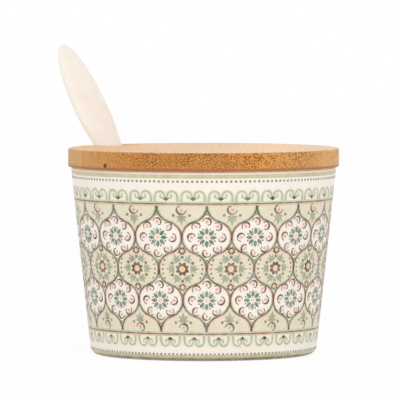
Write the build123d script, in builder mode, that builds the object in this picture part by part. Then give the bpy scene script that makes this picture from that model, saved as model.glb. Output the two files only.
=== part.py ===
"""Honey pot: a moulded, tapered pot, a turned bamboo lid with a notch in its rim, and a spoon.

The spoon stands in the pot with its bowl on the floor, and its handle leans out through the notch.
The origin is the centre of the foot, on the surface that the pot stands on. +Z is up and -Y is the
front. All sizes are in millimetres.
"""

import os
from math import cos, hypot, pi, radians, sin, sqrt, tan

from build123d import *

os.makedirs("parts", exist_ok=True)

# Pot: one moulding with an even wall
pot_height = 72.7
rim_radius = 51.4
side_taper = 6.16  # degrees from the vertical
wall = 2.6
floor_thickness = 3.0
heel_radius = 3.5
inside_corner_radius = 7.0
rim_round = 1.1
foot_recess_radius = 34.0
foot_recess_depth = 1.2
foot_recess_round = 0.5

# Lid: one board, turned round, with a step that drops into the pot's mouth
lid_overhang = 1.1  # of the lid's edge past the pot's rim
lid_thickness = 7.3
lid_edge_round = 0.8
step_depth = 4.0
step_clearance = 0.7
step_chamfer = 0.6

# Notch in the lid's rim, for the spoon's handle
notch_azimuth = 48.7  # degrees from the back, +Y, towards the left, -X
notch_side_gap = 1.2  # on each side of the handle's widest place
notch_back_gap = 2.8  # behind the handle
notch_mouth_round = 1.5

# Spoon: a leaf-shaped handle, a narrower shank and a hollow, pointed bowl
spoon_lean = 33.1  # degrees of the handle from the vertical, outwards through the notch
spoon_roll = 20.3  # degrees that the spoon is turned about its handle
spoon_gap = 0.35  # between the spoon and what it rests on
handle_length = 102.0  # from the back of the bowl to the handle's tip
handle_thickness = 4.8
tip_rise = 1.0  # how far the tip stands forward of the handle's straight line
leaf_length = 29.6  # from the leaf's widest place to the tip
leaf_width = 14.5
shank_distance = 16.0  # from the back of the bowl to where the even shank begins
shank_length = 19.0
shank_width = 6.8
bowl_front = 18.0  # from the bowl's widest place to its point
bowl_back = 22.0  # from there to the back of the bowl
bowl_width = 25.0
bowl_depth = 8.0
bowl_wall = 2.0
bowl_angle = 15.0  # degrees that the bowl is bent forward of the handle
bend_radius = 40.0
lip_height = 0.4  # of the bowl's lip above its widest level
lip_round = 0.6
scoop_radius = 16.0  # of the sweep from the bowl's lip up onto the shank
scoop_slope = 50.0  # degrees that the sweep ends at
section_count = 24  # spaces between the slices from one end of the spoon to the other
slice_points = 12  # round each slice
end_gap = 0.02  # from each end of the spoon to its outermost slice

# ---------------------------------------------------------------- pot

floor_height = foot_recess_depth + floor_thickness
wall_across = wall / cos(radians(side_taper))


def side_radius(height):
    """The radius of the pot's outside at this height, without its rounded heel."""
    return rim_radius - (pot_height - height) * tan(radians(side_taper))


def inner_radius(height):
    """The radius of the pot's inside at this height, without its rounded corner."""
    return side_radius(height) - wall_across


def profile_corner(radius, height):
    """The corner of the pot's profile at this place."""
    return pot_profile.vertices().sort_by_distance((radius, height))[0]


with BuildPart() as pot:
    with BuildSketch(Plane.XZ) as pot_profile:
        with BuildLine():
            Polyline(
                (0, foot_recess_depth),
                (foot_recess_radius, foot_recess_depth),
                (foot_recess_radius, 0),
                (side_radius(0), 0),
                (rim_radius, pot_height),
                (inner_radius(pot_height), pot_height),
                (inner_radius(floor_height), floor_height),
                (0, floor_height),
                close=True,
            )
        make_face()
        fillet(pot_profile.vertices().group_by(Axis.Y)[-1], rim_round)
        fillet(profile_corner(inner_radius(floor_height), floor_height), inside_corner_radius)
        fillet(profile_corner(foot_recess_radius, foot_recess_depth), foot_recess_round)
        fillet(profile_corner(foot_recess_radius, 0), foot_recess_round)
        fillet(profile_corner(side_radius(0), 0), heel_radius)
    revolve(axis=Axis.Z)
pot.part.label = "pot"

# ---------------------------------------------------------------- spoon

# The way the handle points, the side that the bowl opens to, and the way across the spoon
up = Vector(0, 0, 1)
outwards = Vector(-sin(radians(notch_azimuth)), cos(radians(notch_azimuth)), 0)
sideways = outwards.cross(up)
along = outwards * sin(radians(spoon_lean)) + up * cos(radians(spoon_lean))
inwards = up * sin(radians(spoon_lean)) - outwards * cos(radians(spoon_lean))
across = sideways * cos(radians(spoon_roll)) + inwards * sin(radians(spoon_roll))
front = inwards * cos(radians(spoon_roll)) - sideways * sin(radians(spoon_roll))
bowl_along = along * cos(radians(bowl_angle)) - front * sin(radians(bowl_angle))
bowl_up = front * cos(radians(bowl_angle)) + along * sin(radians(bowl_angle))

bowl_length = bowl_front + bowl_back
leaf_place = bowl_length + handle_length - leaf_length
shank_place = bowl_length + shank_distance
shank_end = shank_place + shank_length


def eased(start, end, share):
    """A value that leaves start and reaches end with no slope."""
    return start + (end - start) * share * share * (3 - 2 * share)


def half_section(place, bowl_half, shank_half, leaf_half):
    """Half of the spoon's width or thickness at this distance from the bowl's point."""
    if place < bowl_front:
        return bowl_half * sqrt(1 - (1 - place / bowl_front) ** 2)
    if place < shank_place:
        return eased(bowl_half, shank_half, (place - bowl_front) / (shank_place - bowl_front))
    if place < shank_end:
        return shank_half
    if place < leaf_place:
        return eased(shank_half, leaf_half, (place - shank_end) / (leaf_place - shank_end))
    return leaf_half * sqrt(1 - ((place - leaf_place) / leaf_length) ** 2)


def half_width(place):
    """Half of the spoon's width at this distance from the bowl's point."""
    return half_section(place, bowl_width / 2, shank_width / 2, leaf_width / 2)


def half_thickness(place):
    """Half of the spoon's thickness at this distance from the bowl's point."""
    return half_section(place, bowl_depth, handle_thickness / 2, handle_thickness / 2)


def handle_reach(place):
    """How far the turned handle reaches inwards or outwards of its own line, level with the rim."""
    across_reach = half_width(place) * sin(radians(spoon_roll))
    front_reach = half_thickness(place) * cos(radians(spoon_roll))
    return hypot(across_reach, front_reach) / cos(radians(spoon_lean))


# The bowl stands on the floor by its lowest side, and the handle leans on the inside of the rim
bowl_drop = hypot(bowl_front * bowl_along.Z, bowl_width / 2 * across.Z, bowl_depth * bowl_up.Z)
neck_height = floor_height + spoon_gap + bowl_drop + bowl_back * bowl_along.Z
rim_place = bowl_length + (pot_height - neck_height) / along.Z
rim_distance = inner_radius(pot_height) - spoon_gap - handle_reach(rim_place)
neck_distance = rim_distance - (pot_height - neck_height) * tan(radians(spoon_lean))
neck = outwards * neck_distance + up * neck_height

handle_side = Plane(origin=neck, x_dir=along, z_dir=across)
bowl_side = Plane(origin=neck, x_dir=bowl_along, z_dir=across)


def oval_slice(centre, heading, width, thickness):
    """A slice of the spoon or of its hollow, square to the way it runs, given half of each size."""
    turns = [2 * pi * (number + 0.5) / slice_points for number in range(slice_points)]
    with BuildSketch(Plane(origin=centre, x_dir=across, z_dir=heading), mode=Mode.PRIVATE) as section:
        with BuildLine():
            Spline(*[(width * cos(turn), thickness * sin(turn)) for turn in turns], periodic=True)
        make_face()
    return section.sketch


with BuildPart() as spoon:
    with BuildLine(handle_side) as spine:
        FilletPolyline(
            (-bowl_length * cos(radians(bowl_angle)), bowl_length * sin(radians(bowl_angle))),
            (0, 0),
            (handle_length - leaf_length, 0),
            (handle_length, tip_rise),
            radius=bend_radius,
        )
    path = spine.wire()
    inner_shares = [(1 - cos(pi * number / section_count)) / 2 for number in range(1, section_count)]
    end_share = end_gap / path.length
    body_slices = []
    for share in (end_share, *inner_shares, 1 - end_share):
        place = path.length * share
        body_slices.append(
            oval_slice(path @ share, path % share, half_width(place), half_thickness(place))
        )
    loft(body_slices)

    with BuildSketch(bowl_side):
        with BuildLine():
            lip = FilletPolyline(
                (-2 * bowl_length, lip_height),
                (0, lip_height),
                (bowl_length * cos(radians(scoop_slope)), bowl_length * sin(radians(scoop_slope))),
                radius=scoop_radius,
            )
            Polyline(lip @ 1, (-2 * bowl_length, (lip @ 1).Y), lip @ 0)
        make_face()
    extrude(amount=bowl_width, both=True, mode=Mode.SUBTRACT)

    widest = neck - bowl_along * bowl_back
    hollow_slices = [Vertex(widest - bowl_along * (bowl_front - bowl_wall))]
    for number in range(1, section_count):
        turn = pi * number / section_count
        reach = bowl_front if number < section_count / 2 else bowl_back
        centre = widest - bowl_along * (reach - bowl_wall) * cos(turn)
        width = (bowl_width / 2 - bowl_wall) * sin(turn)
        depth = (bowl_depth - bowl_wall) * sin(turn)
        hollow_slices.append(oval_slice(centre, bowl_along, width, depth))
    hollow_slices.append(Vertex(widest + bowl_along * (bowl_back - bowl_wall)))
    loft(hollow_slices, mode=Mode.SUBTRACT)
    lip_face = spoon.faces().filter_by(GeomType.PLANE).sort_by(lambda face: face.area)[-1]
    fillet(lip_face.edges(), lip_round)
spoon.part.label = "spoon"

# ---------------------------------------------------------------- lid

lid_radius = rim_radius + lid_overhang
step_bottom = pot_height - step_depth
step_radius = inner_radius(step_bottom) - step_clearance
leaf_reach = hypot(
    leaf_width / 2 * cos(radians(spoon_roll)), handle_thickness / 2 * sin(radians(spoon_roll))
)
notch_width = 2 * (leaf_reach + notch_side_gap)
handle_distance = neck_distance + (step_bottom - neck_height) * tan(radians(spoon_lean))
notch_end = handle_distance - handle_reach(rim_place) - notch_back_gap
notch_plane = Plane(origin=up * step_bottom, x_dir=outwards, z_dir=up)
tiny = 0.01


def round_step(edge):
    """Whether this edge runs round the side of the lid's step."""
    return edge.geom_type == GeomType.CIRCLE and abs(edge.radius - step_radius) < tiny


with BuildPart() as lid:
    with BuildSketch(Plane.XY.offset(step_bottom)):
        Circle(step_radius)
    extrude(amount=step_depth)
    with BuildSketch(Plane.XY.offset(pot_height)):
        Circle(lid_radius)
    extrude(amount=lid_thickness)
    with BuildSketch(notch_plane):
        SlotCenterPoint((lid_radius, 0), (notch_end + notch_width / 2, 0), notch_width)
    extrude(amount=step_depth + lid_thickness, mode=Mode.SUBTRACT)
    mouth_corners = lid.edges().filter_by(Axis.Z).sort_by(lambda edge: edge.center().length)[-2:]
    fillet(mouth_corners, notch_mouth_round)
    top_outline = lid.faces().sort_by(Axis.Z)[-1].edges()
    under_outline = lid.edges().filter_by_position(Axis.Z, pot_height - tiny, pot_height + tiny)
    fillet(top_outline + under_outline.filter_by(round_step, reverse=True), lid_edge_round)
    chamfer(lid.faces().sort_by(Axis.Z)[0].edges(), step_chamfer)
lid.part.label = "lid"

export_step(pot.part, "parts/pot.step")
export_step(lid.part, "parts/lid.step")
export_step(spoon.part, "parts/spoon.step")
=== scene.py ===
"""A honey pot: a cream moulded pot printed with bands of ornament, a bamboo lid and a spoon."""

from math import atan, cos, degrees, pi, radians, sin, sqrt, tan

import bmesh
import bpy
from mathutils import Matrix, Vector


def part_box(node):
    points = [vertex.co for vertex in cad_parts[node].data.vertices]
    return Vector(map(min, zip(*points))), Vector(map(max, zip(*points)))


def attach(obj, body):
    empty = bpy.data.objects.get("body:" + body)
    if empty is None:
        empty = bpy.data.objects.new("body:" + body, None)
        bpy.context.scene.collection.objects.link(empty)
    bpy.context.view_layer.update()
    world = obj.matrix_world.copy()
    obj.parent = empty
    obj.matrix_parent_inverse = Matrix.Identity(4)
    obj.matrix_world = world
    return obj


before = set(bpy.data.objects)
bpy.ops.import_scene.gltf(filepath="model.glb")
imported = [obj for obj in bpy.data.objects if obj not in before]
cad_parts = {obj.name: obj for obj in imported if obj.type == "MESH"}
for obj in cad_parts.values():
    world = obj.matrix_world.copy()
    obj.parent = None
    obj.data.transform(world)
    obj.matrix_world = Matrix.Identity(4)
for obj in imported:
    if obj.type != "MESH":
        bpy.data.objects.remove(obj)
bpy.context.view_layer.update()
mm = 0.001

# ------------------------------------------------------------------ pot
# One moulding of bamboo fibre and resin, cream right through, with a satin skin. Fine fibre in
# the mix leaves a faint cloudiness and a few specks, and the wall tapers to a small rounded heel.

pot_cream = (0.955, 0.880, 0.795)
pot_cream_deep = (0.925, 0.835, 0.735)
speck_brown = (0.62, 0.50, 0.38)


def new_material(name):
    """A material with a plain Principled surface, with its node tree and its shader."""
    material = bpy.data.materials.new(name)
    material.use_nodes = True
    return material, material.node_tree, material.node_tree.nodes["Principled BSDF"]


def feed(tree, value, socket):
    """Sets a socket to a number or a colour, or joins it to another node's output."""
    if isinstance(value, bpy.types.NodeSocket):
        tree.links.new(value, socket)
    elif socket.type == "RGBA":
        socket.default_value = (*value, 1.0)
    else:
        socket.default_value = value


def pattern(tree, kind, place, **settings):
    """A Noise or Voronoi pattern at a place, with its settings by name."""
    node = tree.nodes.new("ShaderNodeTex" + kind)
    tree.links.new(place, node.inputs["Vector"])
    for setting, value in settings.items():
        feed(tree, value, node.inputs[setting])
    return node


def ramp(tree, value, low, high, to_low=0.0, to_high=1.0):
    """Carries a value's range from low to high over to another range, and stops at its ends."""
    node = tree.nodes.new("ShaderNodeMapRange")
    for name, number in zip(("From Min", "From Max", "To Min", "To Max"), (low, high, to_low, to_high)):
        node.inputs[name].default_value = number
    tree.links.new(value, node.inputs["Value"])
    return node.outputs["Result"]


def times(tree, product, *shares):
    """Multiplies shares, each a number or a node's output."""
    for share in shares:
        node = tree.nodes.new("ShaderNodeMath")
        node.operation = "MULTIPLY"
        feed(tree, product, node.inputs[0])
        feed(tree, share, node.inputs[1])
        product = node.outputs["Value"]
    return product


def mixed(tree, share, first, second):
    """The first colour, with this share of it given to the second."""
    node = tree.nodes.new("ShaderNodeMix")
    node.data_type = "RGBA"
    tree.links.new(share, node.inputs["Factor"])
    feed(tree, first, node.inputs["A"])
    feed(tree, second, node.inputs["B"])
    return node.outputs["Result"]


def emboss(tree, shader, height, strength, depth):
    """Lets a pattern's height show in how the surface takes the light."""
    node = tree.nodes.new("ShaderNodeBump")
    node.inputs["Strength"].default_value = strength
    node.inputs["Distance"].default_value = depth
    tree.links.new(height, node.inputs["Height"])
    tree.links.new(node.outputs["Normal"], shader.inputs["Normal"])


def fibre_mix_group():
    """A node group for moulded fibre mix: two near colours in soft clouds, with sparse specks."""
    group = bpy.data.node_groups.new("fibre_mix", "ShaderNodeTree")
    for name in ("Colour", "Cloud Colour", "Speck Colour"):
        group.interface.new_socket(name=name, in_out="INPUT", socket_type="NodeSocketColor")
    for name in ("Cloud Scale", "Speck Scale", "Speck Amount"):
        group.interface.new_socket(name=name, in_out="INPUT", socket_type="NodeSocketFloat")
    group.interface.new_socket(name="Colour", in_out="OUTPUT", socket_type="NodeSocketColor")
    for name in ("Roughness", "Height"):
        group.interface.new_socket(name=name, in_out="OUTPUT", socket_type="NodeSocketFloat")
    given = group.nodes.new("NodeGroupInput")
    result = group.nodes.new("NodeGroupOutput")
    place = group.nodes.new("ShaderNodeTexCoord").outputs["Object"]

    cloud = pattern(group, "Noise", place, Scale=given.outputs["Cloud Scale"], Detail=5.0).outputs["Fac"]
    cloud_share = ramp(group, cloud, low=0.35, high=0.70)
    clouded = mixed(group, cloud_share, given.outputs["Colour"], given.outputs["Cloud Colour"])
    speck = pattern(group, "Voronoi", place, Scale=given.outputs["Speck Scale"]).outputs["Distance"]
    speck_share = times(group, ramp(group, speck, low=0.16, high=0.06), given.outputs["Speck Amount"])
    specked = mixed(group, speck_share, clouded, given.outputs["Speck Colour"])
    satin = ramp(group, cloud, low=0.0, high=1.0, to_low=0.34, to_high=0.44)
    group.links.new(specked, result.inputs["Colour"])
    group.links.new(satin, result.inputs["Roughness"])
    group.links.new(cloud, result.inputs["Height"])
    return group


fibre_mix = fibre_mix_group()


def moulded_material(name, colour, cloud_colour, speck_colour, cloud_scale, speck_scale, speck_amount):
    """A moulded or printed surface whose colour comes from the fibre mix group."""
    material, tree, shader = new_material(name)
    mix = tree.nodes.new("ShaderNodeGroup")
    mix.node_tree = fibre_mix
    feed(tree, colour, mix.inputs["Colour"])
    feed(tree, cloud_colour, mix.inputs["Cloud Colour"])
    feed(tree, speck_colour, mix.inputs["Speck Colour"])
    feed(tree, cloud_scale, mix.inputs["Cloud Scale"])
    feed(tree, speck_scale, mix.inputs["Speck Scale"])
    feed(tree, speck_amount, mix.inputs["Speck Amount"])
    tree.links.new(mix.outputs["Colour"], shader.inputs["Base Color"])
    tree.links.new(mix.outputs["Roughness"], shader.inputs["Roughness"])
    emboss(tree, shader, mix.outputs["Height"], strength=0.12, depth=0.1 * mm)
    shader.inputs["Specular IOR Level"].default_value = 0.45
    return material


def dress(piece, material):
    """Gives a piece this one material."""
    piece.data.materials.clear()
    piece.data.materials.append(material)


pot_material = moulded_material(
    "pot_moulding",
    pot_cream,
    pot_cream_deep,
    speck_brown,
    cloud_scale=60.0,
    speck_scale=260.0,
    speck_amount=0.35,
)
dress(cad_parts["pot"], pot_material)

# ------------------------------------------------------------------ print on the pot
# Inks printed round the pot's side in one wrap: stripes and rows of dots at the rim and foot, two
# borders of scrolls, and between them a trellis of curved lines with a flower in each cell.

inks = {
    "wash": (0.78, 0.70, 0.52),
    "mist": (0.72, 0.715, 0.56),
    "veil": (0.86, 0.83, 0.66),
    "reed": (0.43, 0.45, 0.32),
    "sage": (0.345, 0.37, 0.255),
    "pale_green": (0.49, 0.61, 0.35),
    "moss": (0.23, 0.255, 0.175),
    "deep_green": (0.10, 0.20, 0.13),
    "tan": (0.56, 0.51, 0.30),
    "bronze": (0.245, 0.185, 0.105),
    "brown": (0.115, 0.062, 0.038),
    "pink": (0.76, 0.42, 0.33),
    "gold": (0.88, 0.58, 0.30),
}
prints = {name: bmesh.new() for name in inks}

pot_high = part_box("pot")[1]
pot_height = pot_high.z
side_taper = radians(6.16)
heel_radius = 3.5 * mm
rim_setback = 0.125 * mm  # the rounded rim stands this far in from the slope of the side
foot_radius = pot_high.x - pot_height * tan(side_taper) + rim_setback
print_radius = foot_radius + pot_height * tan(side_taper) / 2
print_turn = radians(1.4)
ink_depth = 0.06 * mm
ink_seat = 0.2 * ink_depth
veil_depth = 0.016 * mm
layer_step = 0.5  # each layer of ink lies this share of its depth over the one under it


def side_radius(height):
    """The radius of the pot's outside at this height above the foot, with its rounded heel."""
    heel_centre = foot_radius + heel_radius * (tan(side_taper) - 1 / cos(side_taper))
    if height < heel_radius * (1 - sin(side_taper)):
        return heel_centre + sqrt(heel_radius**2 - (heel_radius - height) ** 2)
    return foot_radius + height * tan(side_taper)


def on_pot(point, facing):
    """Wraps a point of the flat print, x round the side and y up it, from the facing angle."""
    radius = side_radius(point.y) + point.z
    turn = facing + print_turn + point.x / print_radius
    return Vector((radius * sin(turn), -radius * cos(turn), point.y))


def stroke(drawing, start, heading, width, bends):
    """Sweeps a pen of this width in mm through bends, each its radius, turn and end width."""
    degrees_a_step = 30
    mm_a_step = 2.0
    across = Vector((-sin(radians(heading)), cos(radians(heading)), 0))
    place = Vector((*start, 0)) * mm
    corners = [drawing.verts.new(place + across * side * width / 2 * mm) for side in (-1, 1)]
    pen = [drawing.edges.new(corners)]
    for radius, turn, end_width in bends:
        place = (corners[0].co + corners[1].co) / 2
        length = radians(abs(turn)) * radius
        swept = bmesh.ops.spin(
            drawing,
            geom=corners + pen,
            cent=place + across * (radius * mm if turn > 0 else -radius * mm),
            axis=(0, 0, 1),
            angle=radians(turn),
            steps=max(2, round(abs(turn) / degrees_a_step), round(length / mm_a_step)),
        )
        corners = [part for part in swept["geom_last"] if isinstance(part, bmesh.types.BMVert)]
        pen = [part for part in swept["geom_last"] if isinstance(part, bmesh.types.BMEdge)]
        across = Matrix.Rotation(radians(turn), 3, "Z") @ across
        middle = (corners[0].co + corners[1].co) / 2
        bmesh.ops.scale(
            drawing,
            vec=Vector((1, 1, 1)) * (end_width / width),
            space=Matrix.Translation(-middle),
            verts=corners,
        )
        width = end_width


def spot(drawing, radius, sides=8, lobes=0):
    """A filled round spot in mm, or a flower's outline with this many round lobes."""
    dip_between_lobes = 0.72
    made = bmesh.ops.create_circle(drawing, cap_ends=True, segments=sides, radius=radius * mm)
    for number, vertex in enumerate(made["verts"] if lobes else []):
        if number * lobes % sides == 0:
            vertex.co *= dip_between_lobes


def leaf(drawing, foot, length, width, turn):
    """A pointed leaf in mm that grows from its foot, turned by degrees from upright."""
    tip_narrowing = 1.7
    shape = Matrix.Translation((foot[0] * mm, foot[1] * mm, 0)) @ Matrix.Rotation(radians(turn), 4, "Z")
    made = bmesh.ops.create_circle(drawing, cap_ends=True, segments=8, radius=0.5)
    for vertex in made["verts"]:
        side = vertex.co.x * width * (1 - tip_narrowing * max(vertex.co.y, 0)) * mm
        vertex.co = shape @ Vector((side, (vertex.co.y + 0.5) * length * mm, 0))


def motif(draw):
    """The mesh of a motif: its flat drawing thickened into closed chips of ink."""
    drawing = bmesh.new()
    draw(drawing)
    bmesh.ops.remove_doubles(drawing, verts=drawing.verts, dist=0.001 * mm)
    raised = bmesh.ops.extrude_face_region(drawing, geom=drawing.faces[:], use_keep_orig=True)
    top = [part for part in raised["geom"] if isinstance(part, bmesh.types.BMVert)]
    bmesh.ops.translate(drawing, vec=(0, 0, ink_depth), verts=top)
    mesh = bpy.data.meshes.new("motif")
    drawing.to_mesh(mesh)
    drawing.free()
    return mesh


def lay(ink, mesh, x, height, facing, turn=0.0, size=1.0, layer=0.0, flip=False):
    """Prints a motif x mm round the side from the facing angle, at a height in mm and a turn in degrees."""
    strip_width = 1.6 * mm
    copy = bmesh.new()
    copy.from_mesh(mesh)
    place = Matrix.Translation((x * mm, height * mm, -ink_seat)) @ Matrix.Rotation(radians(turn), 4, "Z")
    copy.transform(place @ Matrix.Diagonal((-size if flip else size, size, 1 + layer_step * layer, 1)))
    left = min(vertex.co.x for vertex in copy.verts)
    right = max(vertex.co.x for vertex in copy.verts)
    cuts = int((right - left) / strip_width)
    for number in range(cuts):
        bmesh.ops.bisect_plane(
            copy,
            geom=copy.verts[:] + copy.edges[:] + copy.faces[:],
            plane_co=(left + (right - left) * (number + 1) / (cuts + 1), 0, 0),
            plane_no=(1, 0, 0),
        )
    for vertex in copy.verts:
        vertex.co = on_pot(vertex.co, facing)
    wrapped = bpy.data.meshes.new("wrapped")
    copy.to_mesh(wrapped)
    copy.free()
    prints[ink].from_mesh(wrapped)
    bpy.data.meshes.remove(wrapped)


def lay_ring(ink, mesh, middle, facing, count, radius, first=0.0, size=1.0, stretch=1.0):
    """Prints a motif in an oval ring round a place, each with its top away from the middle."""
    for number in range(count):
        turn = 2 * pi * (number + first) / count
        x = -radius * sin(turn)
        height = middle + stretch * radius * cos(turn)
        lay(ink, mesh, x, height, facing, degrees(turn), size)


def stripe(ink, low, high, depth=ink_depth):
    """Prints a plain stripe all round the pot between two heights in mm."""
    row_height = 0.3
    rows = round((high - low) / row_height) + 1
    heights = [(low + (high - low) * row / rows) * mm for row in range(rows + 1)]
    outline = [(height, -ink_seat) for height in heights] + [(height, depth) for height in heights[::-1]]
    corners = [prints[ink].verts.new((0, -side_radius(height) - out, height)) for height, out in outline]
    pairs = [(corners[number - 1], corners[number]) for number in range(len(corners))]
    edges = [prints[ink].edges.new(pair) for pair in pairs]
    bmesh.ops.spin(
        prints[ink],
        geom=corners + edges,
        cent=(0, 0, 0),
        axis=(0, 0, 1),
        angle=2 * pi,
        steps=180,
        use_merge=True,
    )


# Plain stripes at the rim and foot, each with a row of dots beside it
stripe("tan", low=70.15, high=71.65)
stripe("tan", low=1.35, high=2.5)
# the bronze stripe at the heel is partly print and partly painted shade, where the heel turns under towards
# the floor
stripe("bronze", low=0.35, high=1.35)
dot = motif(lambda drawing: spot(drawing, radius=0.5))
dot_count = 172
upper_dots = 69.0
lower_dots = 2.8
for number in range(dot_count):
    around = 2 * pi * number / dot_count
    lay("moss", dot, 0, upper_dots, around)
    lay("moss", dot, 0, lower_dots, around)

# Borders of scrolls in pairs that stand on a triple line, with a bud between the two of each pair
scroll_count = 30
scroll_foot = 4.3
upper_line = 60.4
lower_line = 10.55
upper_veil = (upper_line + 0.7, upper_line + 4.5)
lower_veil = (lower_line - 4.7, lower_line - 0.6)
upper_scrolls = upper_line + 0.5
lower_scrolls = lower_line - 0.45
upper_buds = upper_line + 1.7
lower_buds = lower_line - 1.5
lower_size = 0.94
lower_bud_size = 0.92


def scroll_of(width):
    """A stalk that rises, curls over and runs in to an eye, in a line of about this width in mm."""
    bends = (
        (30.0, 5, 1.2 * width),
        (1.95, 95, 1.2 * width),
        (1.7, 80, 1.0 * width),
        (0.9, 90, 0.95 * width),
        (0.75, 100, 0.85 * width),
        (0.45, 90, 0.7 * width),
    )
    start = (scroll_foot, 0.0)
    return motif(lambda drawing: stroke(drawing, start, heading=90, width=1.6 * width, bends=bends))


def draw_bud(drawing):
    """Three small petals that open upwards over a round seed."""
    leaf(drawing, (0, 0), length=1.3, width=0.9, turn=0)
    leaf(drawing, (0, 0), length=1.35, width=0.75, turn=68)
    leaf(drawing, (0, 0), length=1.35, width=0.75, turn=-68)
    spot(drawing, radius=0.5)


scroll = scroll_of(width=0.5)
scroll_shade = scroll_of(width=1.1)
bud = motif(draw_bud)
stripe("veil", *upper_veil, veil_depth)
stripe("veil", *lower_veil, veil_depth)
for number in range(scroll_count):
    around = 2 * pi * (number + 0.5) / scroll_count
    for ink, line, layer in (("mist", scroll_shade, -0.6), ("reed", scroll, 0)):
        for flip in (False, True):
            lay(ink, line, 0, upper_scrolls, around, layer=layer, flip=flip)
            lay(ink, line, 0, lower_scrolls, around, 180, lower_size, layer, flip)
    lay("brown", bud, 0, upper_buds, around)
    lay("brown", bud, 0, lower_buds, around, 180, lower_bud_size)
for middle in (upper_line, lower_line):
    for ink, rise, width in (("pale_green", 0.6, 0.65), ("brown", 0.1, 0.4), ("pink", -0.4, 0.55)):
        stripe(ink, middle + rise - width / 2, middle + rise + width / 2)

# The trellis: lines that sway from one crossing to the next, in cells that stand between each other
cell_count = 16
cell_rows = 2
cell_width = 2 * pi * print_radius / mm / cell_count
field_foot = lower_line + 0.85
field_top = upper_line - 0.7
cell_height = (field_top - field_foot) / cell_rows
sway = 2 * atan(cell_width / cell_height)
sway_radius = cell_height / 4 / sin(sway)


def trellis_line(width, offset):
    """A line in mm that sways up to the right, moved this far to the left of its middle."""
    bends = ((sway_radius + offset, -degrees(sway), width), (sway_radius - offset, degrees(sway), width))
    return motif(lambda drawing: stroke(drawing, (-offset, 0), heading=90, width=width, bends=bends))


def cell_half_width(height):
    """Half of a cell's width in mm at this height above or below its middle."""
    rise = min(abs(height), cell_height / 2 - abs(height))
    dip = sway_radius - sqrt(sway_radius**2 - rise**2)
    return cell_width / 2 - dip if abs(height) < cell_height / 4 else dip


def cell_wash(low, high):
    """The ground of a cell between two heights in mm from its middle."""

    def draw(drawing):
        made = bmesh.ops.create_grid(drawing, x_segments=8, y_segments=14, size=1)
        for vertex in made["verts"]:
            height = low + (high - low) * (vertex.co.y + 1) / 2
            vertex.co = Vector((vertex.co.x * cell_half_width(height), height, 0)) * mm

    return motif(draw)


trellis_lines = (
    ("pink", trellis_line(width=0.42, offset=-0.45), 0),
    ("pale_green", trellis_line(width=0.5, offset=0.5), 0),
    ("brown", trellis_line(width=0.55, offset=0.0), 1),
)
for level in range(2 * cell_rows):
    for number in range(cell_count):
        around = 2 * pi * (number + level % 2 / 2) / cell_count
        for ink, line, layer in trellis_lines:
            for flip in (False, True):
                lay(ink, line, 0, field_foot + level * cell_height / 2, around, layer=layer, flip=flip)


# The motifs that stand in the cells
def draw_petals(drawing):
    """Eight long petals about a bare middle."""
    bare_radius = 1.5
    for number in range(8):
        turn = 45 * number
        foot = (-bare_radius * sin(radians(turn)), bare_radius * cos(radians(turn)))
        leaf(drawing, foot, length=3.4, width=1.9, turn=turn)


def draw_crescent(drawing):
    """A thick arch with its ends curled in."""
    bends = ((1.5, -100, 0.72), (1.5, -100, 0.34), (0.6, -110, 0.22))
    stroke(drawing, (-1.5, -0.2), heading=82, width=0.34, bends=bends)


def draw_sprig(drawing):
    """A bud between two pairs of narrow leaves."""
    leaf(drawing, (0, 0.2), length=3.0, width=1.15, turn=0)
    for turn, length, width in ((34, 2.5, 0.8), (72, 1.9, 0.65)):
        leaf(drawing, (0, 0.1), length, width, turn)
        leaf(drawing, (0, 0.1), length, width, -turn)


petals = motif(draw_petals)
rosette = motif(lambda drawing: spot(drawing, radius=1.55, sides=24, lobes=8))
heart = motif(lambda drawing: spot(drawing, radius=0.75, sides=10))
crescent = motif(draw_crescent)
drop = motif(lambda drawing: leaf(drawing, (0, -0.9), length=1.6, width=1.15, turn=0))
sprig = motif(draw_sprig)
whole_wash = cell_wash(-cell_height / 2, cell_height / 2)
foot_wash = cell_wash(0, cell_height / 2)
top_wash = cell_wash(-cell_height / 2, 0)


def lay_pale_cell(middle, facing):
    """A flower with a ring of crescents on the bare pot, and a sprig at the cell's foot and top."""
    sprig_rise = 8.4
    lay("deep_green", petals, 0, middle, facing, size=0.8)
    lay("gold", heart, 0, middle, facing, size=0.9)
    lay_ring("bronze", dot, middle, facing, count=8, radius=3.3, first=0.5, size=0.7)
    lay_ring("brown", crescent, middle, facing, count=8, radius=6.0, size=1.05, stretch=1.06)
    lay_ring("pink", drop, middle, facing, count=8, radius=5.9, size=1.05, stretch=1.06)
    lay("sage", sprig, 0, middle + sprig_rise, facing, 0, 0.9)
    lay("sage", sprig, 0, middle - sprig_rise, facing, 180, 0.9)


def lay_washed_cell(middle, facing):
    """A flower in a ring of sprigs on a wash, with two arcs of dots and two small flowers."""
    flower_rise = 7.0
    dots_in_arc = ((-3.4, 6.9), (-1.7, 7.5), (0.0, 7.7), (1.7, 7.5), (3.4, 6.9))
    lay("wash", whole_wash, 0, middle, facing, layer=-1)
    lay("brown", rosette, 0, middle, facing, size=1.7)
    lay("gold", heart, 0, middle, facing, size=1.6, layer=1)
    lay_ring("sage", sprig, middle, facing, count=6, radius=3.1, first=0.5, size=1.1)
    lay_ring("bronze", dot, middle, facing, count=6, radius=4.6, size=1.3)
    for side in (-1, 1):
        for rise, out in dots_in_arc:
            lay("brown", dot, side * out, middle + rise, facing, size=0.75)
    for side in (-1, 1):
        lay("brown", rosette, 0, middle + side * flower_rise, facing, size=1.05)
        lay("gold", heart, 0, middle + side * flower_rise, facing, size=0.95, layer=1)


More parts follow.
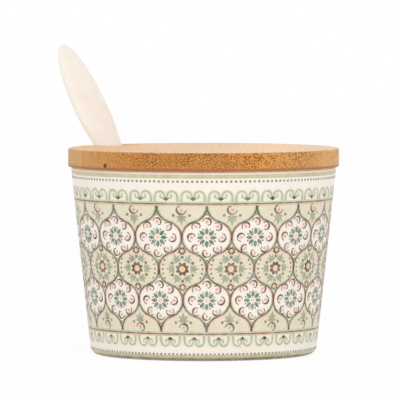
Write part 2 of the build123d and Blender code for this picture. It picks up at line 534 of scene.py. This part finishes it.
def lay_half_cell(wash, edge, up, facing):
    """A sprig over a crescent on a wash, in a cell that the field's foot or top cuts in half."""
    turn = 0 if up == 1 else 180
    sprig_rise = 3.6
    crescent_rise = 1.9
    dot_reach = 3.0
    lay("wash", wash, 0, edge, facing, layer=-1)
    lay("sage", sprig, 0, edge + up * sprig_rise, facing, turn, 1.3)
    lay("brown", crescent, 0, edge + up * crescent_rise, facing, turn, 1.2)
    lay("pink", drop, 0, edge + up * crescent_rise, facing, turn, 1.2)
    for side in (-1, 1):
        lay("bronze", dot, side * dot_reach, edge + up * sprig_rise, facing, size=1.2)


for number in range(2 * cell_count):
    around = pi * number / cell_count
    if number % 2 == 0:
        for row in range(cell_rows):
            lay_pale_cell(field_foot + (row + 0.5) * cell_height, around)
    else:
        lay_washed_cell(field_foot + cell_height, around)
        lay_half_cell(foot_wash, field_foot, 1, around)
        lay_half_cell(top_wash, field_top, -1, around)


def new_piece(name, drawing):
    """A named piece with the shape of this bmesh, at the origin."""
    mesh = bpy.data.meshes.new(name)
    drawing.to_mesh(mesh)
    drawing.free()
    piece = bpy.data.objects.new(name, mesh)
    bpy.context.scene.collection.objects.link(piece)
    return piece


worn_share = 0.28
for ink, drawing in prints.items():
    bmesh.ops.remove_doubles(drawing, verts=drawing.verts, dist=0.0005 * mm)
    bmesh.ops.recalc_face_normals(drawing, faces=drawing.faces)
    piece = new_piece("print_" + ink, drawing)
    worn = tuple(channel + (ground - channel) * worn_share for channel, ground in zip(inks[ink], pot_cream))
    ink_material = moulded_material(
        "ink_" + ink,
        inks[ink],
        worn,
        pot_cream,
        cloud_scale=400.0,
        speck_scale=900.0,
        speck_amount=0.3,
    )
    dress(piece, ink_material)
    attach(piece, "pot")

# ------------------------------------------------------------------ lid
# A disc turned from a board of glued bamboo strips, oiled and left matt. Its fibre bundles run from
# front to back: dark dots where the edge cuts them across, and faint streaks along the top.

# the top colours hold the long grain's paler tone and a painted sheen
bamboo_top_and_sheen = (1.0, 0.67, 0.385)
bamboo_top_left_and_sheen = (0.90, 0.51, 0.220)
bamboo_side = (0.70, 0.39, 0.125)
bamboo_pale = (0.86, 0.44, 0.125)
bamboo_end = (0.755, 0.318, 0.056)
# painted light: a paler colour for the walls of the notch and the step
wall_painted_light = (0.88, 0.57, 0.30)
bundle_dark = (0.120, 0.026, 0.004)
# painted shade along the edge's foot, where it meets the pot's rim
edge_foot_shade = (0.330, 0.115, 0.045)
# painted shade for the inside of a small void in the edge
void_painted_shade = (0.06, 0.03, 0.015)
lid_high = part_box("lid")[1]
lid_edge_foot = pot_height
bamboo, grain, lid_shader = new_material("lid_bamboo")


def turned(vector, angle):
    """A vector turned flat by an angle, so that Y runs along the fibres."""
    node = grain.nodes.new("ShaderNodeVectorRotate")
    node.rotation_type = "Z_AXIS"
    node.inputs["Angle"].default_value = angle
    grain.links.new(vector, node.inputs["Vector"])
    return node.outputs["Vector"]


def stretched(vector, across, along, height):
    """A place measured in lengths of the grain: across the fibres, along them and up."""
    node = grain.nodes.new("ShaderNodeMapping")
    node.inputs["Scale"].default_value = (1 / across, 1 / along, 1 / height)
    grain.links.new(vector, node.inputs["Vector"])
    return node.outputs["Vector"]


def parts_of(vector):
    """The X, Y and Z of a vector."""
    node = grain.nodes.new("ShaderNodeSeparateXYZ")
    grain.links.new(vector, node.inputs["Vector"])
    return node.outputs


# Where a point lies on the board, and which way the surface faces there
board_turn = radians(4.0)
place = grain.nodes.new("ShaderNodeTexCoord").outputs["Object"]
height = parts_of(place)["Z"]
board_place = turned(place, board_turn)
board_x = parts_of(board_place)["X"]
facing = parts_of(turned(grain.nodes.new("ShaderNodeNewGeometry").outputs["Normal"], board_turn))
end_grain = times(grain, facing["Y"], facing["Y"])
flat_top = ramp(grain, times(grain, facing["Z"], facing["Z"]), low=0.35, high=0.95)
upright = ramp(grain, flat_top, low=1.0, high=0.0)

# The wood's colour: brown where the fibres are cut across and paler at the right. The top is paler partly
# for its long grain and partly with painted sheen, the white surroundings reflected at a low angle
pale_share = ramp(grain, board_x, low=35.0 * mm, high=48.0 * mm)
side_wood = mixed(grain, pale_share, bamboo_side, bamboo_pale)
end_share = ramp(grain, end_grain, low=0.18, high=0.80)
side_wood = mixed(grain, end_share, side_wood, bamboo_end)
right_of_left = ramp(grain, board_x, low=-45.0 * mm, high=-5.0 * mm)
top_wood_and_sheen = mixed(grain, right_of_left, bamboo_top_left_and_sheen, bamboo_top_and_sheen)
wood = mixed(grain, flat_top, side_wood, top_wood_and_sheen)

# Strips of the board that differ a little, fine streaks, and upright bands at the left
strips_place = stretched(board_place, 19.0 * mm, 500.0 * mm, 500.0 * mm)
strips = pattern(grain, "Noise", strips_place, Scale=1.0, Detail=2.0).outputs["Fac"]
strip_share = ramp(grain, strips, low=0.35, high=0.65, to_low=0.14, to_high=0.0)
wood = mixed(grain, strip_share, wood, bundle_dark)
streaks_place = stretched(board_place, 0.5 * mm, 26.0 * mm, 0.5 * mm)
streaks = pattern(grain, "Noise", streaks_place, Scale=1.0, Detail=4.0).outputs["Fac"]
streak_share = ramp(grain, streaks, low=0.40, high=0.70, to_high=0.17)
wood = mixed(grain, streak_share, wood, bundle_dark)
bands_place = stretched(board_place, 2.0 * mm, 2.0 * mm, 60.0 * mm)
bands = pattern(grain, "Noise", bands_place, Scale=1.0, Detail=2.0).outputs["Fac"]
band_share = ramp(grain, bands, low=0.40, high=0.60, to_high=0.16)
left_end = ramp(grain, board_x, low=-34.0 * mm, high=-44.0 * mm)
wood = mixed(grain, times(grain, upright, left_end, band_share), wood, bundle_dark)

# Fibre bundles: dots on the edge, richer in patches and upwards, that fade towards both sides
bundle_spacing = 0.66 * mm
bundle_length = 30.0 * mm
bundle_turn = radians(17.0)
bundle_place = stretched(turned(place, bundle_turn), bundle_spacing, bundle_length, bundle_spacing)
bundle = pattern(grain, "Voronoi", bundle_place, Scale=1.0, Randomness=0.65).outputs["Distance"]
bundle_core = ramp(grain, bundle, low=0.56, high=0.34)
patches_place = stretched(board_place, 7.0 * mm, 60.0 * mm, 3.5 * mm)
patches = pattern(grain, "Noise", patches_place, Scale=1.0, Detail=3.0).outputs["Fac"]
patch_share = ramp(grain, patches, low=0.34, high=0.56, to_low=0.6)
edge_low = lid_edge_foot + 1.0 * mm
edge_high = lid_high.z - 0.8 * mm
rise_share = ramp(grain, height, edge_low, edge_high, to_low=0.62)
left_share = ramp(grain, board_x, low=-45.0 * mm, high=-18.0 * mm, to_low=0.15)
right_share = ramp(grain, board_x, low=46.0 * mm, high=35.0 * mm, to_low=0.3)
top_share = ramp(grain, flat_top, low=0.0, high=1.0, to_low=1.0, to_high=0.06)
depth = times(grain, rise_share, patch_share, bundle_core)
shown = times(grain, depth, left_share, right_share, top_share)
wood = mixed(grain, shown, wood, bundle_dark)

# The walls of the notch and of the step stand inside the rim, and are painted paler there as painted light
# where light falls on them
level_place = grain.nodes.new("ShaderNodeVectorMath")
level_place.operation = "MULTIPLY"
level_place.inputs[1].default_value = (1, 1, 0)
grain.links.new(place, level_place.inputs[0])
reach = grain.nodes.new("ShaderNodeVectorMath")
reach.operation = "LENGTH"
grain.links.new(level_place.outputs["Vector"], reach.inputs[0])
rim_inside = lid_high.x - 0.9 * mm
wall_outside = lid_high.x - 1.2 * mm
inner_wall_lit_share = ramp(grain, reach.outputs["Value"], rim_inside, wall_outside, to_high=0.75)
wood = mixed(grain, times(grain, inner_wall_lit_share, upright), wood, wall_painted_light)

# The edge is darkened at its foot with painted shade, the shadow where it meets the pot's rim, and one
# small void is painted as a dark spot of shade
dark_top = lid_edge_foot + 1.4 * mm
dark_full = lid_edge_foot + 0.7 * mm
above_rim = ramp(grain, height, lid_edge_foot - 0.1 * mm, lid_edge_foot)
foot_shade_share = ramp(grain, height, dark_top, dark_full, to_high=0.82)
wood = mixed(grain, times(grain, foot_shade_share, above_rim, upright), wood, edge_foot_shade)
# painted shade: a dark spot stands in for the shadow inside the void, which has no depth here
void_size = 1.25 * mm
void_core = 0.4 * void_size
void_place = (-37.6 * mm, -36.6 * mm, lid_edge_foot + 1.75 * mm)
from_void = grain.nodes.new("ShaderNodeVectorMath")
from_void.operation = "DISTANCE"
from_void.inputs[1].default_value = void_place
grain.links.new(place, from_void.inputs[0])
void_shade_share = ramp(grain, from_void.outputs["Value"], void_size, void_core)
wood = mixed(grain, void_shade_share, wood, void_painted_shade)

# A matt skin of oil, a little sunk over the bundles
grain.links.new(wood, lid_shader.inputs["Base Color"])
matt = ramp(grain, streaks, low=0.3, high=0.7, to_low=0.42, to_high=0.56)
grain.links.new(matt, lid_shader.inputs["Roughness"])
emboss(grain, lid_shader, times(grain, depth, -1.0), strength=0.25, depth=0.08 * mm)
lid_shader.inputs["Specular IOR Level"].default_value = 0.4
dress(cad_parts["lid"], bamboo)

# ------------------------------------------------------------------ spoon
# One small moulding of the same fibre mix as the pot, a little whiter. It has a satin skin, and the
# fibre shows as soft uneven clouds.

spoon_white = (0.935, 0.875, 0.800)
spoon_shade = (0.895, 0.810, 0.715)
spoon_material = moulded_material(
    "spoon_moulding",
    spoon_white,
    spoon_shade,
    speck_brown,
    cloud_scale=170.0,
    speck_scale=420.0,
    speck_amount=0.25,
)
dress(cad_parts["spoon"], spoon_material)

# ------------------------------------------------------------------ floor, sky, camera and lamp
# The pot stands on a white studio floor under an even white sky, with one large soft lamp in front
# and above. A long lens looks at it from far off, a little from above.

floor_white = (0.97, 0.97, 0.97)
floor_half = 3.0
floor_shown_white = 0.92  # the rest of what shows is its own colour, with the pot's shadow
sky_shown = 1.0
sky_light = 0.84


def seen_rays(tree):
    """One for the rays that show a thing: straight to the camera, mirrored, or through glass."""
    light_path = tree.nodes.new("ShaderNodeLightPath")
    total = light_path.outputs["Is Camera Ray"]
    for name in ("Is Glossy Ray", "Is Transmission Ray"):
        node = tree.nodes.new("ShaderNodeMath")
        node.use_clamp = True
        tree.links.new(total, node.inputs[0])
        tree.links.new(light_path.outputs[name], node.inputs[1])
        total = node.outputs["Value"]
    return total


def seen_as(tree, share, real, shown, surface):
    """A surface that looks like one shader and lights the rest of the scene like another."""
    node = tree.nodes.new("ShaderNodeMixShader")
    tree.links.new(share, node.inputs[0])
    tree.links.new(real, node.inputs[1])
    tree.links.new(shown, node.inputs[2])
    tree.links.new(node.outputs["Shader"], surface)


floor_drawing = bmesh.new()
bmesh.ops.create_grid(floor_drawing, x_segments=1, y_segments=1, size=floor_half)
floor = new_piece("floor", floor_drawing)
floor_material, paint, floor_shader = new_material("floor_white")
feed(paint, floor_white, floor_shader.inputs["Base Color"])
floor_shader.inputs["Roughness"].default_value = 0.9
floor_shader.inputs["Specular IOR Level"].default_value = 0.0
floor_glow = paint.nodes.new("ShaderNodeEmission")
floor_glow.inputs["Strength"].default_value = 1.0
seen_as(
    paint,
    times(paint, seen_rays(paint), floor_shown_white),
    floor_shader.outputs["BSDF"],
    floor_glow.outputs["Emission"],
    paint.nodes["Material Output"].inputs["Surface"],
)
dress(floor, floor_material)

scene = bpy.context.scene
scene.view_settings.view_transform = "Standard"
scene.world = bpy.data.worlds.new("sky")
scene.world.use_nodes = True
sky = scene.world.node_tree
lighting_sky = sky.nodes["Background"]
shown_sky = sky.nodes.new("ShaderNodeBackground")
for background, strength in ((lighting_sky, sky_light), (shown_sky, sky_shown)):
    background.inputs["Color"].default_value = (1.0, 1.0, 1.0, 1.0)
    background.inputs["Strength"].default_value = strength
seen_as(
    sky,
    seen_rays(sky),
    lighting_sky.outputs["Background"],
    shown_sky.outputs["Background"],
    sky.nodes["World Output"].inputs["Surface"],
)

camera_dip = 0.0468
camera_data = bpy.data.cameras.new("camera")
camera_data.lens = 517.6
camera_data.sensor_width = 36.0
camera = bpy.data.objects.new("camera", camera_data)
camera.location = (-0.00139, -2.22924, 0.1641)
camera.rotation_euler = (pi / 2 - camera_dip, 0, 0)
scene.collection.objects.link(camera)
scene.camera = camera

lamp_place = Vector((0.06, -1.15, 0.75))
lamp_aim = Vector((0, 0, 0.04))
lamp_data = bpy.data.lights.new("key", "AREA")
lamp_data.shape = "RECTANGLE"
lamp_data.size = 0.7
lamp_data.size_y = 0.6
lamp_data.energy = 3.6
lamp = bpy.data.objects.new("key", lamp_data)
lamp.location = lamp_place
lamp.rotation_euler = (lamp_aim - lamp_place).to_track_quat("-Z", "Y").to_euler()
scene.collection.objects.link(lamp)
